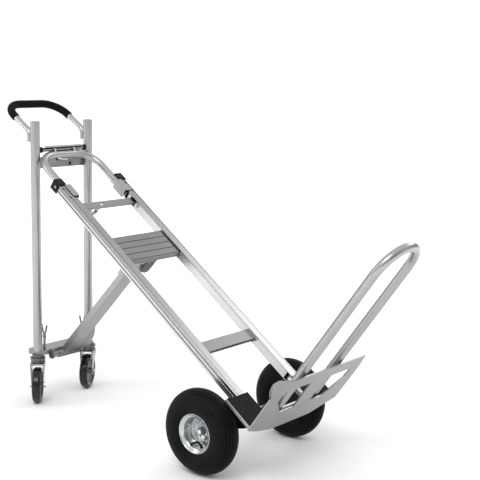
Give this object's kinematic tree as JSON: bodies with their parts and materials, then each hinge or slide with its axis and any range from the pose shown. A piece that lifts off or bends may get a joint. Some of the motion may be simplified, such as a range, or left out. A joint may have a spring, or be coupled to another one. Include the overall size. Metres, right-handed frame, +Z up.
{
  "type": "convertible hand truck",
  "caption": "Convertible aluminium hand truck on pneumatic wheels: a sloping frame with a toe plate and folding nose loop, propped on a swivel caster frame that folds down to a platform.",
  "frame": {"origin": "on the floor, under the middle of the truck's length and width", "axes": "+Z up, +X from the casters towards the pneumatic wheels and toe plate, +Y to the left across the truck"},
  "size_m": [1.5686, 0.5185, 1.0363],
  "materials": {
    "aluminium": "satin",
    "plate_aluminium": "satin",
    "zinc": "satin",
    "rim_zinc": "satin",
    "tyre_rubber": "matte",
    "foam_grip": "matte",
    "black_paint": "satin",
    "black_plastic": "matte",
    "grip_pad": "rough",
    "grey_core": "satin"
  },
  "bodies": {
    "handle_frame": {"upright_right": "aluminium", "upright_left": "aluminium", "upright_plugs": "black_plastic", "upper_crossbar": "plate_aluminium", "lower_crossbar": "plate_aluminium", "catch_hooks": "zinc", "handle_tube": "aluminium", "handle_grip": "foam_grip", "handle_rivets": "zinc", "caster_bearings": "zinc", "brace_pin": "zinc"},
    "caster_right": {"caster_fork_right": "zinc", "caster_bolt_right": "zinc"},
    "caster_left": {"caster_fork_left": "zinc", "caster_bolt_left": "zinc"},
    "caster_wheel_right": {"caster_tyre_right": "tyre_rubber", "caster_core_right": "grey_core"},
    "caster_wheel_left": {"caster_tyre_left": "tyre_rubber", "caster_core_left": "grey_core"},
    "brace": {"brace_channel": "plate_aluminium", "brace_gusset": "plate_aluminium", "brace_clip": "zinc"},
    "main_frame": {"rail_right": "aluminium", "rail_left": "aluminium", "rail_collars": "black_plastic", "collar_screws": "zinc", "guide_sleeves": "plate_aluminium", "sleeve_screws": "zinc", "upper_cross_member": "plate_aluminium", "step_plate": "plate_aluminium", "hinge_bracket": "plate_aluminium", "hinge_bolt": "zinc", "lower_cross_member": "plate_aluminium", "member_clips": "zinc", "toe_plate": "plate_aluminium", "pad_plates": "plate_aluminium", "guard_pads": "grip_pad", "toe_bolts": "zinc", "axle": "zinc", "axle_brackets": "black_paint", "axle_spacers": "black_paint", "axle_nuts": "zinc", "nose_brackets": "plate_aluminium", "nose_rod": "zinc"},
    "wheel_right": {"tyre_right": "tyre_rubber", "rim_right": "rim_zinc", "valve_right": "black_plastic"},
    "wheel_left": {"tyre_left": "tyre_rubber", "rim_left": "rim_zinc", "valve_left": "black_plastic"},
    "nose": {"nose_loop": "aluminium"},
    "loop": {"slide_loop": "aluminium"},
    "carriage": {"carriage_bar": "plate_aluminium", "bar_rollers": "black_plastic"},
    "latch": {"carriage_latch": "zinc"},
    "lever": {"release_lever": "zinc"}
  },
  "joints": [
    {"name": "brace_fold", "type": "hinge", "parent": "handle_frame", "child": "brace", "pos_m": [-0.5873, 0, 0.1597], "axis": [0, 1, 0], "range_deg": [0, 43.7]},
    {"name": "frame_fold", "type": "hinge", "parent": "brace", "child": "main_frame", "pos_m": [-0.23511, 0, 0.53685], "axis": [0, 1, 0], "range_deg": [-78.8, 0.1]},
    {"name": "loop_slide", "type": "slide", "parent": "main_frame", "child": "loop", "axis": [-0.8192, 0, 0.5736], "range_m": [-0.0001, 0.0352]},
    {"name": "carriage_pivot", "type": "hinge", "parent": "loop", "child": "carriage", "pos_m": [-0.608, 0, 0.87754], "axis": [0, 1, 0], "range_deg": [-0.1, 35.1]},
    {"name": "latch_swing", "type": "hinge", "parent": "carriage", "child": "latch", "pos_m": [-0.608, 0, 0.87754], "axis": [0, 1, 0], "range_deg": [0, 3.5]},
    {"name": "lever_swing", "type": "hinge", "parent": "main_frame", "child": "lever", "pos_m": [-0.38519, 0, 0.69858], "axis": [0, 1, 0], "range_deg": [0, 20]},
    {"name": "nose_fold", "type": "hinge", "parent": "main_frame", "child": "nose", "pos_m": [0.40448, 0, 0.19448], "axis": [0, 1, 0], "range_deg": [-88, 0]},
    {"name": "wheel_right_spin", "type": "hinge", "parent": "main_frame", "child": "wheel_right", "pos_m": [0.24195, -0.214, 0.128], "axis": [0, 1, 0], "continuous": true},
    {"name": "wheel_left_spin", "type": "hinge", "parent": "main_frame", "child": "wheel_left", "pos_m": [0.24195, 0.214, 0.128], "axis": [0, 1, 0], "continuous": true},
    {"name": "caster_right_swivel", "type": "hinge", "parent": "handle_frame", "child": "caster_right", "pos_m": [-0.608, -0.118, 0.1465], "axis": [0, 0, 1], "continuous": true},
    {"name": "caster_left_swivel", "type": "hinge", "parent": "handle_frame", "child": "caster_left", "pos_m": [-0.608, 0.118, 0.1465], "axis": [0, 0, 1], "continuous": true},
    {"name": "caster_right_spin", "type": "hinge", "parent": "caster_right", "child": "caster_wheel_right", "pos_m": [-0.59688, -0.12951, 0.062], "axis": [0.7193, 0.6947, 0], "continuous": true},
    {"name": "caster_left_spin", "type": "hinge", "parent": "caster_left", "child": "caster_wheel_left", "pos_m": [-0.59952, 0.10443, 0.062], "axis": [0.848, 0.5299, 0], "continuous": true}
  ],
  "couplings": [
    {"joint": "frame_fold", "follows": "brace_fold", "ratio": -1.8007},
    {"joint": "loop_slide", "follows": "brace_fold", "m_per_rad": 0.045917},
    {"joint": "carriage_pivot", "follows": "brace_fold", "ratio": 0.80073}
  ]
}
